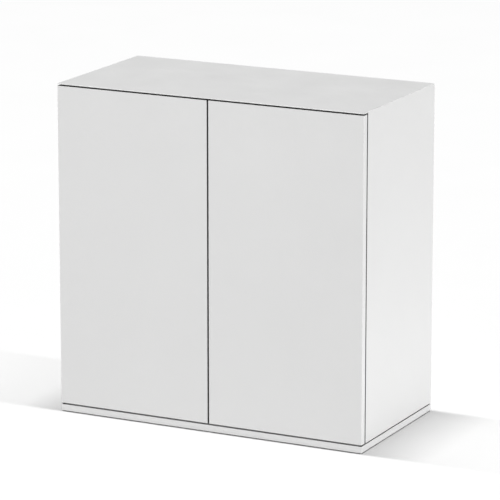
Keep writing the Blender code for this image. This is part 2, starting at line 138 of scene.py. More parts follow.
def melamine(name, white, gloss_low, gloss_high, scuffed=0.0):
    """Pressed paper foil: a pearl grain in the surface, and a tone that hardly drifts.

    Scuffed foil is also rubbed dull in places and has small dark nicks.
    """
    finish, tree, shader, place = new_finish(name)
    drift = grains(tree, place, scale=5.0, detail=2.0)
    pearl = grains(tree, place, scale=600.0, detail=2.0, roughness=0.6)
    tone = put(tree, "ShaderNodeMix", {"data_type": "FLOAT"}, Factor=0.4, A=drift, B=pearl)
    pale = (white * 1.025, white * 1.025, white * 1.022)
    deep = (white * 0.970, white * 0.970, white * 0.968)
    colour = blend_colours(tree, tone.outputs[0], deep, pale)
    cloud = grains(tree, place, scale=11.0, detail=4.0, roughness=0.6)
    smears = between(tree, cloud, gloss_low, gloss_high)
    if scuffed:
        rubs = grains(tree, place, scale=140.0, detail=5.0, roughness=0.65)
        nicks = put(tree, "ShaderNodeMapRange", Value=rubs, From_Min=0.62, From_Max=0.70)
        nicks.inputs["To Max"].default_value = scuffed
        grime = (white * 0.55, white * 0.52, white * 0.47, 1)
        clean_socket, grime_socket, colour_out = 6, 7, 2
        worn = put(tree, "ShaderNodeMix", {"data_type": "RGBA"})
        tree.links.new(nicks.outputs[0], worn.inputs[0])
        tree.links.new(colour, worn.inputs[clean_socket])
        worn.inputs[grime_socket].default_value = grime
        colour = worn.outputs[colour_out]
    tree.links.new(colour, shader.inputs["Base Color"])
    tree.links.new(smears, shader.inputs["Roughness"])
    waves = grains(tree, place, scale=9.0, detail=1.0)
    long_wave = raise_by(tree, shader, waves, depth=0.0002, strength=0.10)
    raise_by(tree, shader, pearl, depth=0.0004, strength=1.0, under=long_wave)
    return finish


def raw_chipboard():
    """Pressed chips, light and dark, where a drill or saw has opened the board."""
    finish, tree, shader, place = new_finish("raw_chipboard")
    chips = put(tree, "ShaderNodeTexVoronoi", Vector=place, Scale=420.0, Randomness=1.0)
    split = put(tree, "ShaderNodeSeparateColor", Color=chips.outputs["Color"])
    dark_chip, light_chip = (0.20, 0.12, 0.06), (0.52, 0.37, 0.21)
    colour = blend_colours(tree, split.outputs[0], dark_chip, light_chip)
    tree.links.new(colour, shader.inputs["Base Color"])
    shader.inputs["Roughness"].default_value = 0.9
    raise_by(tree, shader, chips.outputs["Distance"], depth=0.0006, strength=0.6)
    return finish


board_face = melamine("melamine_face", BOARD_WHITE, 0.40, 0.50)
board_band = melamine("glued_edge_band", BAND_WHITE, 0.30, 0.44, scuffed=0.35)
# Painted shade: a dark grey band put on the faces beside the gaps, so that the gaps between the
# boards look shaded.
gap_shade_band = melamine("painted_gap_shade", GAP_SHADE_GREY, 0.36, 0.50, scuffed=0.3)
board_core = raw_chipboard()


def new_piece(name, shape, *finishes):
    """Makes a shape a piece of the cabinet, with its faces turned out."""
    bmesh.ops.recalc_face_normals(shape, faces=shape.faces)
    mesh = bpy.data.meshes.new(name)
    shape.to_mesh(mesh)
    shape.free()
    for finish in finishes:
        mesh.materials.append(finish)
    piece = bpy.data.objects.new(name, mesh)
    bpy.context.scene.collection.objects.link(piece)
    return piece


def block(name, low, high, finish, rounding=0.0, steps=3):
    """A plain block between two corners, with rounded edges where asked."""
    low, high = Vector(low), Vector(high)
    shape = bmesh.new()
    bmesh.ops.create_cube(shape, size=1.0)
    bmesh.ops.scale(shape, vec=high - low, verts=shape.verts)
    bmesh.ops.translate(shape, vec=(low + high) / 2, verts=shape.verts)
    if rounding:
        soften_edges(shape, rounding, steps)
    return new_piece(name, shape, finish)


def soften_edges(shape, rounding, steps, sharper_than=math.radians(40)):
    """Rounds the edges of a shape that turn by more than an angle."""
    bmesh.ops.recalc_face_normals(shape, faces=shape.faces)
    edges = [e for e in shape.edges if e.calc_face_angle(0) > sharper_than]
    bmesh.ops.bevel(
        shape, geom=edges, offset=rounding, segments=steps, profile=0.5, affect="EDGES",
        clamp_overlap=True,
    )


def drill(name, centre, axis, radius, long, finish, around=48):
    """A round bar that a hole is cut with, or that is joined on."""
    shape = bmesh.new()
    bmesh.ops.create_cone(
        shape, cap_ends=True, segments=around, radius1=radius, radius2=radius, depth=long
    )
    turn = Z_AXIS.rotation_difference(Vector(axis)).to_matrix().to_4x4()
    bmesh.ops.transform(shape, matrix=Matrix.Translation(centre) @ turn, verts=shape.verts)
    return new_piece(name, shape, finish)


def work_on(piece, tools, operation="DIFFERENCE"):
    """Cuts the tools out of a piece, or joins them to it, and clears them away."""
    for tool in tools:
        boolean = piece.modifiers.new(tool.name, "BOOLEAN")
        boolean.operation = operation
        boolean.object = tool
        boolean.material_mode = "TRANSFER"
    bpy.context.view_layer.update()
    graph = bpy.context.evaluated_depsgraph_get()
    rough = piece.data
    piece.data = bpy.data.meshes.new_from_object(piece.evaluated_get(graph))
    piece.modifiers.clear()
    bpy.data.meshes.remove(rough)
    for tool in tools:
        bpy.data.objects.remove(tool, do_unlink=True)
    return piece


def fit(piece, body, slot, *nodes):
    """Smooths a finished piece, puts it in its solid's place and lets it move with its body."""
    for face in piece.data.polygons:
        face.use_smooth = True
    piece.data.set_sharp_from_angle(angle=SMOOTH_ANGLE)
    if not piece.modifiers:
        even = piece.modifiers.new("even_shading", "WEIGHTED_NORMAL")
        even.keep_sharp = True
    if nodes:
        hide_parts(*nodes)
    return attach(piece, body)


def banded_board(
    node, face=board_face, band=board_band, rounding=BAND_RADIUS, taller=0.0, gap_shade_ways=()
):
    """A board as big as its solid: faces in foil, edges and their rounding in glued band.

    Edges that face one of the gap shade ways carry painted shade: a grey band that keeps the gap
    beside them dark.
    """
    low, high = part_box(node)
    high = high + Vector((0, 0, taller))
    size = high - low
    thin = min(range(3), key=lambda i: size[i])
    shape = bmesh.new()
    bmesh.ops.create_cube(shape, size=1.0)
    bmesh.ops.scale(shape, vec=size, verts=shape.verts)
    bmesh.ops.translate(shape, vec=(low + high) / 2, verts=shape.verts)
    soften_edges(shape, rounding, BAND_STEPS)
    square, turned_there = 0.999, 0.5
    for f in shape.faces:
        # Faces turned towards a gap shade way get the grey band of painted shade.
        in_gap = any(f.normal.dot(way) > turned_there for way in gap_shade_ways)
        f.material_index = 2 if in_gap else 0 if abs(f.normal[thin]) > square else 1
    return new_piece(f"{node}_board", shape, face, band, gap_shade_band)


base_low, base_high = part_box("base_board")
glide_nodes = sorted(n for n in frame["nodes"] if n.startswith("glide_"))
STRIP_EDGE = 0.0013
STRIP_INNER = 0.007
STRIP_DEEP = 0.0001
GLIDE_HOLE_R = 0.0053
GLIDE_HOLE_TOP = 0.0098

base = banded_board("base_board")
glide_holes = []
for node in glide_nodes:
    low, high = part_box(node)
    middle = (low + high) / 2
    centre = (middle.x, middle.y, GLIDE_HOLE_TOP / 2)
    glide_holes.append(drill("hole", centre, Z_AXIS, GLIDE_HOLE_R, GLIDE_HOLE_TOP, board_core))
# Painted shade: thin grey strips on the base's top under the side panels' shadow line.
shadow_strips = []
for side in SIDES.values():
    xs = sorted((side * base_high.x - side * STRIP_EDGE, side * base_high.x - side * STRIP_INNER))
    low = (xs[0], base_low.y + STRIP_EDGE, base_high.z - STRIP_DEEP)
    high = (xs[1], base_high.y - STRIP_EDGE, base_high.z + STRIP_DEEP)
    shadow_strips.append(block("shadow_strip", low, high, gap_shade_band))
work_on(base, glide_holes + shadow_strips)
fit(base, "cabinet", "melamine_board", "base_board")

# ---- Glides --------------------------------------------------------------------------------
# Six dark plastic discs under the base board, two millimetres thick, that keep the board's
# edge off a wet floor. Each is moulded with a ribless stem that is knocked into its hole.

GLIDE_FOOT_R = 0.012
GLIDE_FOOT_TOP = 0.0017
GLIDE_STEM_R = 0.005
GLIDE_ROUNDING = 0.0005


def moulded_plastic(name, dark, light, rough_low, rough_high, grain=0.00004):
    """Injection-moulded plastic with the fine spark texture of its mould."""
    finish, tree, shader, place = new_finish(name)
    colour = blend_colours(tree, grains(tree, place, scale=60.0, detail=2.0), dark, light)
    tree.links.new(colour, shader.inputs["Base Color"])
    sheen = between(tree, grains(tree, place, scale=90.0, detail=3.0), rough_low, rough_high)
    tree.links.new(sheen, shader.inputs["Roughness"])
    spark = grains(tree, place, scale=2200.0, detail=2.0)
    raise_by(tree, shader, spark, depth=grain, strength=0.5)
    return finish


def softened(points, radius, steps=4, closed=True):
    """Rounds the corners of an outline, each to the radius or as far as it has room."""
    made = []
    straight = math.radians(172)
    half_edge = 0.49
    for i, point in enumerate(points):
        here = Vector(point)
        ends = not closed and i in (0, len(points) - 1)
        before = Vector(points[i - 1]) - here
        after = Vector(points[(i + 1) % len(points)]) - here
        if ends or before.angle(after) > straight:
            made.append(here)
            continue
        reach = radius / math.tan(before.angle(after) / 2)
        reach = min(reach, before.length * half_edge, after.length * half_edge)
        start = here + before.normalized() * reach
        end = here + after.normalized() * reach
        for k in range(steps + 1):
            t = k / steps
            made.append(start * (1 - t) ** 2 + here * 2 * t * (1 - t) + end * t ** 2)
    return made


def turned(name, profile, place, axis, finish, around=48, ring=False):
    """Turns a profile of (radius, height) about an axis through a place."""
    shape = bmesh.new()
    same_point = 0.000002
    rim = [shape.verts.new((max(p[0], 0.0), 0, p[1])) for p in profile]
    edges = [shape.edges.new(pair) for pair in zip(rim, rim[1:])]
    if ring:
        edges.append(shape.edges.new((rim[-1], rim[0])))
    bmesh.ops.spin(
        shape, geom=rim + edges, cent=(0, 0, 0), axis=(0, 0, 1), angle=2 * math.pi,
        steps=around, use_duplicate=False,
    )
    bmesh.ops.remove_doubles(shape, verts=shape.verts, dist=same_point)
    turn = Z_AXIS.rotation_difference(Vector(axis)).to_matrix().to_4x4()
    bmesh.ops.transform(shape, matrix=Matrix.Translation(place) @ turn, verts=shape.verts)
    return new_piece(name, shape, finish)


glide_plastic = moulded_plastic("glide_plastic", (0.05, 0.05, 0.052), (0.08, 0.08, 0.08), 0.5, 0.7)

for node in glide_nodes:
    low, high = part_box(node)
    middle = (low + high) / 2
    profile = softened(
        [
            (0, high.z),
            (GLIDE_STEM_R, high.z),
            (GLIDE_STEM_R, GLIDE_FOOT_TOP),
            (GLIDE_FOOT_R, GLIDE_FOOT_TOP),
            (GLIDE_FOOT_R, 0),
            (0, 0),
        ],
        GLIDE_ROUNDING,
        closed=False,
    )
    glide = turned(f"{node}_disc", profile, (middle.x, middle.y, 0), Z_AXIS, glide_plastic)
    fit(glide, "cabinet", "glide_plastic", node)

# ---- Side panels ---------------------------------------------------------------------------
# Two 18 mm boards that stand on the base board and carry the tank's weight. The top end is
# sawn to a mitre, a shallow step along the foot makes the shadow line and carries painted
# shade in grey, the front edge carries painted shade in grey too, the back inner edge is
# rebated for the back panel, and three rows of holes take the shelf pins.

BOARD = 0.018
TOUCH = 0.0003
SHADOW_HIGH = 0.003
SHADOW_DEEP = 0.006
BACK_STEP = 0.008
PIN_PITCH = 0.032
PIN_ROWS = (-1, 0, 1)
PIN_STEM_R = 0.0024
PIN_HOLE_R = 0.0027
PIN_HOLE_DEEP = 0.008
PIN_HOLE_PAST = 0.001
MITRE_GAP = 0.00005
MITRE_PAST = 0.006

side_low, side_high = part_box("right_side_panel")
inner_x = side_low.x
outer_x = side_high.x
top_low, top_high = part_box("top_panel")
back_low, back_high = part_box("back_panel")
shelf_pin_nodes = sorted(n for n in frame["nodes"] if "_shelf_pin_" in n)


def wedge(name, side, shift):
    """A long triangular bar that saws the 45 degree mitre between a side and the top."""
    near, far = -MITRE_PAST, BOARD + MITRE_PAST
    shape = bmesh.new()
    if shift > 0:
        corners = [(near, near), (far, far), (near, far)]
    else:
        corners = [(near, near), (far, far), (far, near)]
    ends = [side_low.y - (MITRE_PAST if shift else TOUCH), side_high.y + OVERCUT]
    rows = []
    for y in ends:
        row = [
            shape.verts.new((side * (inner_x + u), y, top_low.z + v - shift))
            for u, v in corners
        ]
        rows.append(row)
    shape.faces.new(rows[0])
    shape.faces.new(rows[1][::-1])
    for i in range(3):
        j = (i + 1) % 3
        shape.faces.new((rows[0][i], rows[1][i], rows[1][j], rows[0][j]))
    return new_piece(name, shape, board_band)


def back_rebate(name):
    """The step that the back panel lies in, right across the cabinet."""
    half = inner_x + BACK_STEP + TOUCH
    low = (-half, back_low.y - TOUCH, 0)
    high = (half, back_high.y + OVERCUT, back_high.z + TOUCH)
    return block(name, low, high, board_core)


def pin_holes(face_x, side):
    """Drills for the shelf pins in one face of a board."""
    tools = []
    near = 0.001
    for node in shelf_pin_nodes:
        low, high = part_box(node)
        if not low.x - near < face_x < high.x + near:
            continue
        for row in PIN_ROWS:
            deep = PIN_HOLE_DEEP + 2 * PIN_HOLE_PAST
            x = face_x + side * (PIN_HOLE_DEEP / 2 - PIN_HOLE_PAST)
            z = low.z + PIN_STEM_R + row * PIN_PITCH
            centre = (x, (low.y + high.y) / 2, z)
            tools.append(drill("hole", centre, X_AXIS, PIN_HOLE_R, deep, board_core, 24))
    return tools


for hand, side in SIDES.items():
    node = f"{hand}_side_panel"
    # The front edge carries painted shade in grey, beside the gap behind the doors.
    panel = banded_board(node, taller=top_high.z - side_high.z, gap_shade_ways=[-Y_AXIS])
    tools = [wedge("mitre", side, MITRE_GAP), back_rebate("rebate")]
    xs = sorted((side * (outer_x - SHADOW_DEEP), side * (outer_x + OVERCUT)))
    low = (xs[0], side_low.y - OVERCUT, side_low.z - OVERCUT)
    high = (xs[1], side_high.y + OVERCUT, base_high.z + SHADOW_HIGH)
    # The step's faces carry painted shade in grey, to darken the shadow line.
    tools.append(block("shadow_step", low, high, gap_shade_band))
    tools += pin_holes(side * inner_x, side)
    work_on(panel, tools)
    fit(panel, "cabinet", "melamine_board", node)

# ---- Top panel -----------------------------------------------------------------------------
# One 18 mm board that the tank stands on. Both ends are mitred to the sides so that no joint
# shows, and the front is milled away underneath to leave a thin lip over the door tops; the
# milled faces carry painted shade in grey.

LIP = 0.002

top = banded_board("top_panel")
low = (-outer_x - OVERCUT, top_low.y - OVERCUT, top_low.z - OVERCUT)
high = (outer_x + OVERCUT, side_low.y, top_high.z - LIP)
# The lip rebate leaves painted shade in grey on the milled faces above the door tops.
tools = [block("lip_rebate", low, high, gap_shade_band), back_rebate("rebate")]
for side in SIDES.values():
    tools.append(wedge("mitre", side, 0))
work_on(top, tools)
fit(top, "cabinet", "melamine_board", "top_panel")

# ---- Centre partition ----------------------------------------------------------------------
# An upright 18 mm board behind the meeting doors. It stops the top from bending under the
# tank, and its front edge carries painted shade in grey, which shows as a dark line between
# the doors.

# The front edge carries painted shade in grey, behind the gap between the doors.
partition = banded_board("centre_partition", gap_shade_ways=[-Y_AXIS])
half_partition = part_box("centre_partition")[1].x
tools = []
for side in SIDES.values():
    tools += pin_holes(side * half_partition, -side)
work_on(partition, tools)
fit(partition, "cabinet", "melamine_board", "centre_partition")

# ---- Back panel ----------------------------------------------------------------------------
# White-faced 8 mm fibreboard, laid in the rebate from behind and screwed round its edge. Two
# large holes at the top take the filter hoses, two small ones near the floor the mains leads.

BACK_ROUNDING = 0.0003
HOLE_LONG = 0.030
RING_FLANGE = 0.006


def lacquered_fibreboard():
    """A roller-coated white face, slightly orange-peeled and duller than the foil."""
    finish, tree, shader, place = new_finish("lacquered_fibreboard")
    dull = (BOARD_WHITE * 0.95,) * 3
    bright = (BOARD_WHITE, BOARD_WHITE, BOARD_WHITE * 0.99)
    colour = blend_colours(tree, grains(tree, place, scale=14.0, detail=4.0), dull, bright)
    tree.links.new(colour, shader.inputs["Base Color"])
    shader.inputs["Roughness"].default_value = 0.62
    peel = grains(tree, place, scale=260.0, detail=3.0)
    raise_by(tree, shader, peel, depth=0.0001, strength=0.4)
    return finish


def raw_fibreboard():
    """The brown felted core of fibreboard."""
    finish, tree, shader, place = new_finish("raw_fibreboard")
    dark, light = (0.16, 0.09, 0.045), (0.30, 0.19, 0.10)
    colour = blend_colours(tree, grains(tree, place, scale=500.0, detail=4.0), dark, light)
    tree.links.new(colour, shader.inputs["Base Color"])
    shader.inputs["Roughness"].default_value = 0.95
    felt = grains(tree, place, scale=1500.0, detail=2.0)
    raise_by(tree, shader, felt, depth=0.0002, strength=0.5)
    return finish


back_face = lacquered_fibreboard()
back_core = raw_fibreboard()
grommet_nodes = sorted(n for n in frame["nodes"] if n.endswith("_grommet"))

back = banded_board("back_panel", back_face, back_core, BACK_ROUNDING)
tools = []
for node in grommet_nodes:
    low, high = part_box(node)
    middle = (low + high) / 2
    radius = (high.x - low.x) / 2 - RING_FLANGE + TOUCH
    tools.append(drill("hole", middle, Y_AXIS, radius, HOLE_LONG, back_core, around=72))
work_on(back, tools)
fit(back, "cabinet", "backing_board", "back_panel")

# ---- Screws --------------------------------------------------------------------------------
# Zinc and nickel plated chipboard screws with a cross recess. One set holds the back panel;
# the same pattern of screw fixes the hinges and the latches further on.

SCREW_R = 0.0034
SCREW_HIGH = 0.0013
SCREW_SUNK = 0.0004
DOME_TURNS = (0.0, 0.35, 0.7, 1.05, 1.35)
BACK_SCREWS_UP = 5
BACK_SCREW_IN = 0.0045
BACK_SCREW_END = 0.03
BACK_SCREW_SUNK = 0.0001
BACK_SCREW_TURN = 0.7


def plated_steel(name, dark, light, rough_low, rough_high):
    """Plated sheet: bright, with fine rolling lines and a patchy dulling from handling."""
    finish, tree, shader, place = new_finish(name, metallic=1.0)
    stretch = put(tree, "ShaderNodeMapping", Vector=place, Scale=(900.0, 60.0, 900.0))
    lines = grains(tree, stretch.outputs[0], scale=1.0, detail=2.0)
    patches = grains(tree, place, scale=45.0, detail=3.0, roughness=0.6)
    colour = blend_colours(tree, patches, dark, light)
    tree.links.new(colour, shader.inputs["Base Color"])
    tree.links.new(between(tree, patches, rough_low, rough_high), shader.inputs["Roughness"])
    raise_by(tree, shader, lines, depth=0.00001, strength=0.5)
    return finish


zinc = plated_steel("zinc_plate", (0.52, 0.53, 0.56), (0.68, 0.69, 0.71), 0.28, 0.42)
nickel = plated_steel("nickel_plate", (0.58, 0.56, 0.53), (0.72, 0.71, 0.68), 0.18, 0.32)
screw_meshes = {}


def screw_mesh(finish, radius):
    """One domed head with a cross recess, standing on the plane z = 0."""
    key = (finish.name, radius)
    if key in screw_meshes:
        return screw_meshes[key]
    high = SCREW_HIGH
    dome = [(radius * math.cos(a), high * math.sin(a)) for a in DOME_TURNS]
    profile = [(0, high)] + dome[::-1] + [(radius, -SCREW_SUNK), (0, -SCREW_SUNK)]
    head = turned("screw", profile, (0, 0, 0), Z_AXIS, finish, around=32)
    arm, thin, deep = radius * 0.62, radius * 0.13, high * 0.75
    tools = []
    for half_x, half_y in ((arm, thin), (thin, arm)):
        low = (-half_x, -half_y, high - deep)
        tools.append(block("slot", low, (half_x, half_y, high * 2), finish))
    work_on(head, tools)
    for face in head.data.polygons:
        face.use_smooth = True
    head.data.set_sharp_from_angle(angle=SMOOTH_ANGLE)
    screw_meshes[key] = head.data
    bpy.data.objects.remove(head, do_unlink=True)
    return screw_meshes[key]


def drive_screw(name, place, axis, turn, body, finish=zinc, radius=SCREW_R):
    """A screw head at a place, its dome along the axis, turned to where it stopped."""
    screw = bpy.data.objects.new(name, screw_mesh(finish, radius))
    bpy.context.scene.collection.objects.link(screw)
    aim = Z_AXIS.rotation_difference(Vector(axis)).to_matrix().to_4x4()
    spin = Matrix.Rotation(turn, 4, "Z")
    screw.matrix_world = Matrix.Translation(place) @ aim @ spin
    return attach(screw, body)


screw_count = 0
for side in (-1, 0, 1):
    for i in range(BACK_SCREWS_UP):
        reach = back_high.z - back_low.z - 2 * BACK_SCREW_END
        z = back_low.z + BACK_SCREW_END + reach * i / (BACK_SCREWS_UP - 1)
        x = side * (back_high.x - BACK_SCREW_IN)
        screw_count += 1
        place = (x, back_high.y - BACK_SCREW_SUNK, z)
        turn = screw_count * BACK_SCREW_TURN
        drive_screw(f"back_screw_{screw_count}", place, Y_AXIS, turn, "cabinet")

# ---- Grommets ------------------------------------------------------------------------------
# Black moulded rings that line the four holes in the back, so that hoses and leads don't
# chafe. Each is pressed in from inside: a flange on the inner face and a sleeve through the
# board, with a small lead-in at the mouth.

RING_WALL = 0.0022
RING_ROUNDING = 0.0007
LEAD_IN_WIDE = 0.0006
LEAD_IN_DEEP = 0.0016
grommet_plastic = moulded_plastic(
    "grommet_plastic", (0.012, 0.012, 0.013), (0.022, 0.022, 0.023), 0.42, 0.58
)

for node in grommet_nodes:
    low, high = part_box(node)
    middle = (low + high) / 2
    flange = (high.x - low.x) / 2
    outer = flange - RING_FLANGE
    inner = outer - RING_WALL
    step = back_low.y - TOUCH - low.y
    long = high.y - low.y
    profile = softened(
        [
            (inner, long),
            (outer, long),
            (outer, step),
            (flange, step),
            (flange, 0),
            (inner + LEAD_IN_WIDE, 0),
            (inner, LEAD_IN_DEEP),
        ],
        RING_ROUNDING,
    )
    place = (middle.x, low.y, middle.z)
    grommet = turned(f"{node}_ring", profile, place, Y_AXIS, grommet_plastic, 96, ring=True)
    fit(grommet, "cabinet", "grommet_plastic", node)

# ---- Shelves and shelf pins ----------------------------------------------------------------
# A loose 16 mm banded board in each compartment, resting on four zinc plated pins: a plug in
# the drilled hole, and a flat tongue under the shelf.

TONGUE_THICK = 0.0032
TONGUE_ROUNDING = 0.0007
PLUG_ROUNDING = 0.0006

for hand, side in SIDES.items():
    node = f"{hand}_shelf"
    fit(banded_board(node), "cabinet", "melamine_board", node)

for node in shelf_pin_nodes:
    low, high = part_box(node)
    inner_face = min(
        (-inner_x, -half_partition, half_partition, inner_x),
        key=lambda x: abs((low.x + high.x) / 2 - x),
    )
    inward = 1 if high.x - inner_face > inner_face - low.x else -1
    pad_x = sorted((inner_face + inward * TOUCH, high.x if inward > 0 else low.x))
    stem_z = low.z + PIN_STEM_R
    middle_y = (low.y + high.y) / 2
    tongue_low = (pad_x[0], low.y, high.z - TONGUE_THICK)
    tongue_high = (pad_x[1], high.y, high.z)
    tongue = block(f"{node}_tongue", tongue_low, tongue_high, zinc, TONGUE_ROUNDING)
    tail_x = low.x if inward > 0 else high.x
    nose_x = (pad_x[0] + pad_x[1]) / 2
    plug_long = abs(nose_x - tail_x)
    bar = [(0, plug_long), (PIN_STEM_R, plug_long), (PIN_STEM_R, 0), (0, 0)]
    profile = softened(bar, PLUG_ROUNDING, closed=False)
    plug = turned("plug", profile, (tail_x, middle_y, stem_z), X_AXIS * inward, zinc, 32)
    work_on(tongue, [plug], "UNION")
    fit(tongue, "cabinet", "zinc_steel", node)

# ---- Doors ---------------------------------------------------------------------------------
# Two full-overlay 18 mm doors with no handles. Each is banded on all four edges, with painted
# shade in grey on the top, bottom and inner edges, bored on its back for two 35 mm hinge cups,
# and carries soft pads and the latch's strike plate.

CUP_BORE_R = 0.0176
CUP_BORE_DEEP = 0.0123
LEVELS = ("lower", "upper")

for hand, side in SIDES.items():
    node = f"{hand}_door"
    # The top, bottom and inner edges carry painted shade in grey, beside the gaps.
    door = banded_board(node, gap_shade_ways=[Z_AXIS, -Z_AXIS, -side * X_AXIS])
    door_back_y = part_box(node)[1].y
    tools = []
    for level in LEVELS:
        low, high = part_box(f"{node}_{level}_hinge_cup")
        middle = (low + high) / 2
        centre = (middle.x, door_back_y, middle.z)
        long = 2 * CUP_BORE_DEEP
        tools.append(drill("bore", centre, Y_AXIS, CUP_BORE_R, long, board_core, 72))
    work_on(door, tools)
    fit(door, node, "melamine_board", node)

# ---- Door pads and strike plates -----------------------------------------------------------
# A clear self-adhesive pad at the top and bottom of each door's free edge, so that the door
# closes without a knock, and a zinc plated disc that the latch's magnet holds.

PAD_WALL = 0.15
PAD_STEPS = 8
STRIKE_DISH_DEEP = 0.55
STRIKE_DISH_R = 0.36
STRIKE_LAND_R = 0.46
STRIKE_ROUNDING = 0.0003


def clear_rubber():
    """Soft clear polyurethane, faintly yellowed."""
    finish, tree, shader, place = new_finish("clear_pad_rubber")
    dark, light = (0.82, 0.84, 0.82), (0.92, 0.93, 0.91)
    colour = blend_colours(tree, grains(tree, place, scale=300.0, detail=2.0), dark, light)
    tree.links.new(colour, shader.inputs["Base Color"])
    shader.inputs["Transmission Weight"].default_value = 0.7
    shader.inputs["IOR"].default_value = 1.46
    shader.inputs["Roughness"].default_value = 0.18
    ripple = grains(tree, place, scale=800.0, detail=1.0)
    raise_by(tree, shader, ripple, depth=0.00003, strength=0.4)
    return finish


pad_rubber = clear_rubber()

for hand, side in SIDES.items():
    body = f"{hand}_door"
    for level in LEVELS:
        node = f"{body}_{level}_bumper"
        low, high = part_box(node)
        middle = (low + high) / 2
        radius = (high.x - low.x) / 2
        thick = high.y - low.y
        profile = [(0, 0), (radius, 0)]
        for i in range(PAD_STEPS):
            rise = i * math.pi / 2 / PAD_STEPS
            high_up = PAD_WALL + (1 - PAD_WALL) * math.sin(rise)
            profile.append((radius * math.cos(rise), thick * high_up))
        profile.append((0, thick))
        place = (middle.x, low.y, middle.z)
        pad = turned(f"{node}_pad", profile, place, Y_AXIS, pad_rubber, around=40)
        fit(pad, body, "bumper_pad", node)
    node = f"{body}_strike_plate"
    low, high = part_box(node)
    middle = (low + high) / 2
    radius = (high.x - low.x) / 2
    thick = high.y - low.y
    profile = softened(
        [
            (0, thick * STRIKE_DISH_DEEP),
            (radius * STRIKE_DISH_R, thick * STRIKE_DISH_DEEP),
            (radius * STRIKE_LAND_R, thick),
            (radius, thick),
            (radius, 0),
            (0, 0),
        ],
        STRIKE_ROUNDING,
        closed=False,
    )
    place = (middle.x, low.y, middle.z)
    strike = turned(f"{node}_disc", profile, place, Y_AXIS, zinc, around=64)
    fit(strike, body, "zinc_steel", node)

# ---- Hinge cups ----------------------------------------------------------------------------
# The part of each concealed hinge that goes into the door: a deep-drawn nickel plated cup,
# with a rim that covers the bore's edge and two wings that are screwed to the door's back.

CUP_R = 0.0173
CUP_INNER_R = 0.0162
CUP_RIM_R = 0.0182
CUP_FLOOR = 0.0011
CUP_RIM = 0.0013
CUP_RIM_LOW = 0.0003
CUP_BEND = 0.0022
CUP_EDGE = 0.0004
WING_HALF_WIDE = 0.0075
WING_SHOULDER = 0.0125
WING_TAPER = 0.001
WING_UNDER_RIM = 0.0001
WING_SCREW_OUT = 0.0245
MOUTH_PLAY = 0.0002
MOUTH_LONG = 0.012
MOUTH_OUT = 0.003


def rounded_plate(name, outline, low, high, axis_matrix, finish, corner, edge):
    """A flat stamping: an outline with rounded corners, a thickness and broken edges."""
    shape = bmesh.new()
    rim = [shape.verts.new((p[0], p[1], low)) for p in softened(outline, corner, 5)]
    face = shape.faces.new(rim)
    grown = bmesh.ops.extrude_face_region(shape, geom=[face])
    lifted = [v for v in grown["geom"] if isinstance(v, bmesh.types.BMVert)]
    bmesh.ops.translate(shape, vec=(0, 0, high - low), verts=lifted)
    if edge:
        soften_edges(shape, edge, 2, math.radians(60))
    bmesh.ops.transform(shape, matrix=axis_matrix, verts=shape.verts)
    return new_piece(name, shape, finish)


def facing(place, right, up):
    """Places a flat drawing: its x runs along right, its y along up, its z towards you."""
    right, up = Vector(right), Vector(up)
    turn = Matrix((right, up, right.cross(up))).transposed().to_4x4()
    return Matrix.Translation(place) @ turn


for hand, side in SIDES.items():
    body = f"{hand}_door"
    door_back_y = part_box(body)[1].y
    for level in LEVELS:
        node = f"{body}_{level}_hinge_cup"
        low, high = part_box(node)
        middle = (low + high) / 2
        place = Vector((middle.x, door_back_y, middle.z))
        deep = low.y - door_back_y
        rim_top = CUP_RIM_LOW + CUP_RIM
        inside = softened(
            [(0, deep + CUP_FLOOR), (CUP_INNER_R, deep + CUP_FLOOR), (CUP_INNER_R, rim_top)],
            CUP_BEND,
            steps=6,
            closed=False,
        )
        outside = softened(
            [
                (CUP_INNER_R, rim_top),
                (CUP_RIM_R, rim_top),
                (CUP_RIM_R, CUP_RIM_LOW),
                (CUP_R, CUP_RIM_LOW),
                (CUP_R, deep),
                (0, deep),
            ],
            CUP_EDGE,
            steps=3,
            closed=False,
        )
        cup = turned(f"{node}_drawn", inside + outside[1:], place, Y_AXIS, nickel, 72)
        half_long = (high.z - low.z) / 2
        outline = [
            (-WING_HALF_WIDE + WING_TAPER, -half_long),
            (WING_HALF_WIDE - WING_TAPER, -half_long),
            (WING_HALF_WIDE, -WING_SHOULDER),
            (WING_HALF_WIDE, WING_SHOULDER),
            (WING_HALF_WIDE - WING_TAPER, half_long),
            (-WING_HALF_WIDE + WING_TAPER, half_long),
            (-WING_HALF_WIDE, WING_SHOULDER),
            (-WING_HALF_WIDE, -WING_SHOULDER),
        ]
        flat = facing(place, (1, 0, 0), (0, 0, -1))
        wing_top = rim_top - WING_UNDER_RIM
        wings = rounded_plate(
            "wings", outline, CUP_RIM_LOW, wing_top, flat, nickel, corner=0.004, edge=0.0003
        )
        mouth_place = (place.x, door_back_y + (deep + CUP_FLOOR) / 2 + MOUTH_OUT, place.z)
        mouth_r = CUP_INNER_R + MOUTH_PLAY
        mouth = drill("mouth", mouth_place, Y_AXIS, mouth_r, MOUTH_LONG, nickel, around=72)
        work_on(wings, [mouth])
        work_on(cup, [wings], "UNION")
        fit(cup, body, "nickel_steel", node)
        for end in (-1, 1):
            spot = (place.x, door_back_y + rim_top, place.z + end * WING_SCREW_OUT)
            drive_screw(f"{node}_screw_{end + 2}", spot, Y_AXIS, end * 0.6, body, nickel)

# ---- Hinge plates and arms -----------------------------------------------------------------
# On the side panel's inner face: a cross-shaped mounting plate held by two screws, and the
# channel-shaped arm clipped over it, with its two adjusting screws in slots.

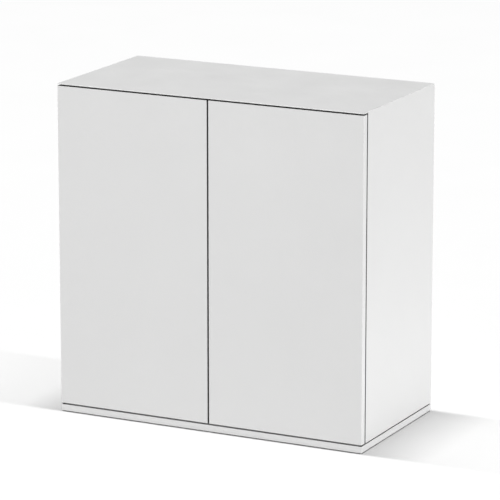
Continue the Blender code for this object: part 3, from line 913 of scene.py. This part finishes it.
PLATE_HALF_WIDE = 0.0075
PLATE_WING_HALF = 0.008
PLATE_WING_THIN = 0.001
PLATE_SCREW_OUT = 0.016
ARM_HALF_WIDE = 0.0085
ARM_WALL = 0.0013
ARM_OPEN_Y = -0.1605
ARM_OPEN_PAST = 0.001
NOSE_R = 0.0029
NOSE_STEPS = 10
NOSE_TAIL = 0.010
PIVOT_R = 0.00145
SLOT_R = 0.003
SLOT_LONG = 0.006
ARM_SCREW_OUTS = (0.014, -0.006)
ARM_SCREW_R = 0.0027
ARM_SCREW_SUNK = 0.0010

for hand, side in SIDES.items():
    pivot = next(j for j in frame["joints"] if j["name"] == f"{hand}_hinge_link_turn")
    pivot_x, pivot_y = abs(pivot["pos_m"][0]), pivot["pos_m"][1]
    for level in LEVELS:
        node = f"{hand}_{level}_hinge_plate"
        low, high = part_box(node)
        middle = (low + high) / 2
        half_y = (high.y - low.y) / 2
        half_z = (high.z - low.z) / 2
        wall_x = side * max(abs(low.x), abs(high.x))
        flat = facing((wall_x, middle.y, middle.z), (0, -side, 0), (0, 0, 1))
        thick = high.x - low.x
        spine = [
            (-half_y, -PLATE_HALF_WIDE),
            (half_y, -PLATE_HALF_WIDE),
            (half_y, PLATE_HALF_WIDE),
            (-half_y, PLATE_HALF_WIDE),
        ]
        cross = [
            (-PLATE_WING_HALF, -half_z),
            (PLATE_WING_HALF, -half_z),
            (PLATE_WING_HALF, half_z),
            (-PLATE_WING_HALF, half_z),
        ]
        plate = rounded_plate(
            f"{node}_cast", spine, 0, thick, flat, nickel, corner=0.002, edge=0.0005
        )
        wing_thick = thick - PLATE_WING_THIN
        wings = rounded_plate(
            "wings", cross, 0, wing_thick, flat, nickel, corner=0.003, edge=0.0004
        )
        work_on(plate, [wings], "UNION")
        fit(plate, "cabinet", "nickel_steel", node)
        wing_x = wall_x - side * wing_thick
        inward = (-side, 0, 0)
        for end in (-1, 1):
            spot = (wing_x, middle.y, middle.z + end * PLATE_SCREW_OUT)
            drive_screw(f"{node}_screw_{end + 2}", spot, inward, end + 0.4, "cabinet", nickel)

        node = f"{hand}_{level}_hinge_arm"
        low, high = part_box(node)
        arm_x = max(abs(low.x), abs(high.x))
        web_x = min(abs(low.x), abs(high.x))
        outline = [(arm_x, high.y), (web_x, high.y), (web_x, ARM_OPEN_Y)]
        for i in range(NOSE_STEPS + 1):
            turn = math.pi + i * math.pi / NOSE_STEPS
            x = pivot_x + NOSE_R * math.cos(turn)
            outline.append((x, pivot_y + NOSE_R * math.sin(turn)))
        outline.append((pivot_x + NOSE_R, pivot_y + NOSE_TAIL))
        outline = [(side * x, y) for x, y in outline]
        flat = Matrix.Translation((0, 0, middle.z))
        arm = rounded_plate(
            f"{node}_channel",
            outline,
            -ARM_HALF_WIDE,
            ARM_HALF_WIDE,
            flat,
            nickel,
            corner=0.0012,
            edge=0.0006,
        )
        inner_z = ARM_HALF_WIDE - ARM_WALL
        xs = sorted((side * (web_x + ARM_WALL), side * (arm_x + OVERCUT)))
        channel_low = (xs[0], ARM_OPEN_Y - ARM_OPEN_PAST, middle.z - inner_z)
        channel_high = (xs[1], high.y + OVERCUT, middle.z + inner_z)
        channel = block("channel", channel_low, channel_high, nickel)
        xs = sorted((side * (web_x - OVERCUT), side * (arm_x + OVERCUT)))
        fork_low = (xs[0], pivot_y - OVERCUT, middle.z - inner_z)
        fork_high = (xs[1], ARM_OPEN_Y, middle.z + inner_z)
        fork = block("fork", fork_low, fork_high, nickel)
        plate_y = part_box(f"{hand}_{level}_hinge_plate")[0].y + half_y
        slots = []
        for out in ARM_SCREW_OUTS:
            spot = (side * web_x, plate_y + out, middle.z)
            slots.append(drill("slot", spot, X_AXIS, SLOT_R, SLOT_LONG, nickel, around=32))
        work_on(arm, [channel, fork, *slots])
        pin_place = (side * pivot_x, pivot_y, middle.z)
        pin_long = 2 * ARM_HALF_WIDE - ARM_WALL
        pin = drill("pin", pin_place, Z_AXIS, PIVOT_R, pin_long, nickel, around=32)
        work_on(arm, [pin], "UNION")
        fit(arm, "cabinet", "nickel_steel", node)
        for i, out in enumerate(ARM_SCREW_OUTS):
            spot = (side * (web_x + ARM_SCREW_SUNK), plate_y + out, middle.z)
            turn = 0.9 * i + 0.3
            name = f"{node}_screw_{i + 1}"
            drive_screw(name, spot, inward, turn, "cabinet", zinc, ARM_SCREW_R)

# ---- Hinge links ---------------------------------------------------------------------------
# The moving gooseneck of each hinge: a bent nickel plated strip that turns on the arm's pin,
# hooks round the side panel's front edge and reaches into the cup.

LINK_LONG = 0.0211
LINK_ANGLE = math.radians(225.7)
LINK_BULGE = 0.0093
LINK_CREST = 0.47
LINK_HALF_THICK = 0.0009
LINK_HALF_WIDE = 0.005
LINK_EYE_R = 0.0025
LINK_BORE_R = 0.0017
LINK_BORE_LONG = 0.03
LINK_STEPS = 28


def gooseneck(pivot_x, pivot_y, side):
    """The strip's outline in plan, from the eye to the free end."""
    along = Vector((math.cos(LINK_ANGLE), math.sin(LINK_ANGLE)))
    inward = Vector((along.y, -along.x))
    middle = []
    for i in range(LINK_STEPS + 1):
        s = i / LINK_STEPS
        if s < LINK_CREST:
            rise = math.sin(math.pi / 2 * s / LINK_CREST)
        else:
            rise = math.cos(math.pi / 2 * (s - LINK_CREST) / (1 - LINK_CREST))
        middle.append(along * (s * LINK_LONG) + inward * (LINK_BULGE * rise))
    left, right = [], []
    for i, point in enumerate(middle):
        run = (middle[min(i + 1, LINK_STEPS)] - middle[max(i - 1, 0)]).normalized()
        out = Vector((-run.y, run.x)) * LINK_HALF_THICK
        left.append(point + out)
        right.append(point - out)
    outline = left + right[::-1]
    return [(side * (pivot_x + p.x), pivot_y + p.y) for p in outline]


for hand, side in SIDES.items():
    body = f"{hand}_hinge_links"
    pivot = next(j for j in frame["joints"] if j["name"] == f"{hand}_hinge_link_turn")
    pivot_x, pivot_y = abs(pivot["pos_m"][0]), pivot["pos_m"][1]
    for level in LEVELS:
        node = f"{hand}_{level}_hinge_link"
        low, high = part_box(node)
        z = (low.z + high.z) / 2
        flat = Matrix.Translation((0, 0, z))
        link = rounded_plate(
            f"{node}_strip",
            gooseneck(pivot_x, pivot_y, side),
            -LINK_HALF_WIDE,
            LINK_HALF_WIDE,
            flat,
            nickel,
            corner=0.0005,
            edge=0.0,
        )
        centre = (side * pivot_x, pivot_y, z)
        eye = drill("eye", centre, Z_AXIS, LINK_EYE_R, 2 * LINK_HALF_WIDE, nickel, around=40)
        work_on(link, [eye], "UNION")
        bore = drill("bore", centre, Z_AXIS, LINK_BORE_R, LINK_BORE_LONG, nickel, around=32)
        work_on(link, [bore])
        fit(link, body, "nickel_steel", node)

# ---- Push latches --------------------------------------------------------------------------
# One push-to-open latch on each side of the partition, high up: a grey moulded housing with a
# collar round its mouth, held by two screws, and a white plunger with a magnet in its tip.

LATCH_ROUNDING = 0.0016
PLUNGER_BORE_R = 0.0043
PLUNGER_BORE_DEEP = 0.063
GROOVES = 5
GROOVE_START = 0.012
GROOVE_PITCH = 0.011
GROOVE_WIDE = 0.0012
GROOVE_DEEP = 0.0006
PAST = 0.001
LATCH_SCREW_FRONT = 0.018
LATCH_SCREW_BACK = 0.010
LATCH_SCREW_SUNK = 0.0002
LATCH_SCREW_R = 0.0026
TIP_R = 0.55
TIP_DEEP = 0.0004
TIP_LAND = 0.6
TIP_SHOULDER = 0.78
HEAD_LOW = 0.0008
HEAD_HIGH = 0.0052
NECK_LOW = 0.0060
NECK = 0.9
PLUNGER_ROUNDING = 0.0003
latch_plastic = moulded_plastic(
    "latch_plastic", (0.30, 0.31, 0.32), (0.36, 0.37, 0.38), 0.42, 0.55
)
plunger_plastic = moulded_plastic(
    "plunger_plastic", (0.66, 0.66, 0.65), (0.72, 0.72, 0.71), 0.32, 0.42, 0.00002
)

for hand, side in SIDES.items():
    node = f"{hand}_latch_housing"
    low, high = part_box(node)
    middle = (low + high) / 2
    housing = block(f"{node}_shell", low, high, latch_plastic, LATCH_ROUNDING, 4)
    bore_long = PLUNGER_BORE_DEEP + PAST
    centre = (middle.x, low.y + bore_long / 2 - PAST, middle.z)
    tools = [drill("bore", centre, Y_AXIS, PLUNGER_BORE_R, bore_long, latch_plastic)]
    for i in range(GROOVES):
        y = low.y + GROOVE_START + i * GROOVE_PITCH
        groove_low = (low.x - PAST, y, low.z - PAST)
        groove_high = (high.x + PAST, y + GROOVE_WIDE, low.z + GROOVE_DEEP)
        tools.append(block("groove", groove_low, groove_high, latch_plastic))
    work_on(housing, tools)
    fit(housing, "cabinet", "latch_plastic", node)
    open_x = high.x if side > 0 else low.x
    for i, y in enumerate((low.y + LATCH_SCREW_FRONT, high.y - LATCH_SCREW_BACK)):
        spot = (open_x - side * LATCH_SCREW_SUNK, y, middle.z)
        outward = (side, 0, 0)
        name = f"{node}_screw_{i + 1}"
        drive_screw(name, spot, outward, i + 0.5, "cabinet", zinc, LATCH_SCREW_R)

    node = f"{hand}_latch_plunger"
    low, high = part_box(node)
    middle = (low + high) / 2
    radius = (high.x - low.x) / 2
    long = high.y - low.y
    profile = softened(
        [
            (0, long),
            (radius * NECK, long),
            (radius * NECK, NECK_LOW),
            (radius, HEAD_HIGH),
            (radius, HEAD_LOW),
            (radius * TIP_SHOULDER, 0),
            (radius * TIP_LAND, 0),
            (radius * TIP_R, TIP_DEEP),
            (0, TIP_DEEP),
        ],
        PLUNGER_ROUNDING,
        steps=3,
        closed=False,
    )
    place = (middle.x, low.y, middle.z)
    plunger = turned(f"{node}_rod", profile, place, Y_AXIS, plunger_plastic)
    fit(plunger, node, "plunger_plastic", node)

# ---- Floor, light and camera ---------------------------------------------------------------
# A white studio floor and square-on softboxes above, in front and to the right, which are
# screened off the floor. Two long strips of light overhead are screened off the cabinet and
# only throw its bands of shadow on the floor to left and right.

FLOOR_SIZE = 80.0
FLOOR_WHITE = 0.462
FLOOR_GLOW = 0.035
ROOM_LIGHT = 0.15
ROOM_SEEN = 1.05
STRIP_UP = 60.0
STRIP_WIDE = 1.5
STRIP_Y = -0.2
STRIPS = {"core": ((-11, 8), 1.3), "tail": ((-32, 38), 0.85)}
TOP_SHARE = 1.095
TOP_UP = 9.0
TOP_WIDE = 2.0
FRONT_SHARE = 0.47
FRONT_PLACE = (-0.6, -4.0, 0.8)
FRONT_SIZE = (1.2, 0.8)
RIGHT_SHARE = 0.63
RIGHT_X = 4.0
RIGHT_UP = 0.5
RIGHT_SIZE = (1.5, 0.8)
LOW_SHARE = 0.25
LOW_OUT = 0.45
LOW_UP = 0.05
LOW_SIZE = (1.2, 0.06)
CAMERA_LENS = 251.5
CAMERA_PLACE = (3.6489, -7.2628, 2.3948)
CAMERA_AZIMUTH = math.radians(26.61)
CAMERA_ELEVATION = math.radians(13.78)
CAMERA_REACH = 200.0

floor_shape = bmesh.new()
bmesh.ops.create_grid(floor_shape, x_segments=1, y_segments=1, size=FLOOR_SIZE / 2)
floor_finish, tree, shader, place = new_finish("studio_floor")
pale = (FLOOR_WHITE * 1.01,) * 3
deep = (FLOOR_WHITE * 0.99,) * 3
colour = blend_colours(tree, grains(tree, place, scale=3.0, detail=2.0), deep, pale)
tree.links.new(colour, shader.inputs["Base Color"])
shader.inputs["Roughness"].default_value = 0.95
shader.inputs["Specular IOR Level"].default_value = 0.0
shader.inputs["Emission Color"].default_value = (1, 1, 1, 1)
shader.inputs["Emission Strength"].default_value = FLOOR_GLOW
studio_floor = new_piece("studio_floor", floor_shape, floor_finish)

lit_cabinet = bpy.data.collections.new("lit_cabinet")
lit_floor = bpy.data.collections.new("lit_floor")
for piece in bpy.context.scene.objects:
    if piece.type == "MESH":
        (lit_floor if piece == studio_floor else lit_cabinet).objects.link(piece)

world = bpy.data.worlds.new("studio_room")
bpy.context.scene.world = world
world.use_nodes = True
tree = world.node_tree
room = tree.nodes["Background"]
room.inputs["Color"].default_value = (1, 1, 1, 1)
seen = put(tree, "ShaderNodeLightPath").outputs["Is Camera Ray"]
strength = put(tree, "ShaderNodeMapRange", Value=seen)
strength.inputs["To Min"].default_value = ROOM_LIGHT
strength.inputs["To Max"].default_value = ROOM_SEEN
tree.links.new(strength.outputs[0], room.inputs["Strength"])


def soft_light(name, place, target, wide, high, share, lights_up):
    """A flat light that adds a share of full white to what faces it at its target."""
    light = bpy.data.lights.new(name, "AREA")
    light.shape = "RECTANGLE"
    light.size = wide
    light.size_y = high
    lamp = bpy.data.objects.new(name, light)
    bpy.context.scene.collection.objects.link(lamp)
    away = Vector(place) - Vector(target)
    light.energy = share * math.pi ** 2 * away.length_squared
    lamp.location = place
    lamp.rotation_mode = "QUATERNION"
    lamp.rotation_quaternion = away.to_track_quat("Z", "Y")
    lamp.light_linking.receiver_collection = lights_up
    lamp.visible_camera = False
    return lamp


for name, (leans, share) in STRIPS.items():
    low_x, high_x = (STRIP_UP * math.tan(math.radians(lean)) for lean in leans)
    middle_x = (low_x + high_x) / 2
    place = (middle_x, STRIP_Y, STRIP_UP)
    target = (middle_x, STRIP_Y, 0)
    long = high_x - low_x
    soft_light(f"overhead_{name}", place, target, long, STRIP_WIDE, share, lit_floor)
target = (0, top_low.y, FRONT_PLACE[2])
soft_light("front_softbox", FRONT_PLACE, target, *FRONT_SIZE, FRONT_SHARE, lit_cabinet)
place, target = (RIGHT_X, 0, RIGHT_UP), (outer_x, 0, RIGHT_UP)
soft_light("right_softbox", place, target, *RIGHT_SIZE, RIGHT_SHARE, lit_cabinet)
place, target = (outer_x + LOW_OUT, 0, LOW_UP), (outer_x, 0, LOW_UP)
soft_light("low_softbox", place, target, *LOW_SIZE, LOW_SHARE, lit_cabinet)
place, target = (0, 0, TOP_UP), (0, 0, top_high.z)
soft_light("top_softbox", place, target, TOP_WIDE, TOP_WIDE, TOP_SHARE, lit_cabinet)

camera_data = bpy.data.cameras.new("camera")
camera_data.lens = CAMERA_LENS
camera_data.clip_end = CAMERA_REACH
camera = bpy.data.objects.new("camera", camera_data)
bpy.context.scene.collection.objects.link(camera)
camera.location = CAMERA_PLACE
camera.rotation_euler = (math.pi / 2 - CAMERA_ELEVATION, 0, CAMERA_AZIMUTH)
bpy.context.scene.camera = camera
bpy.context.scene.view_settings.view_transform = "Standard"
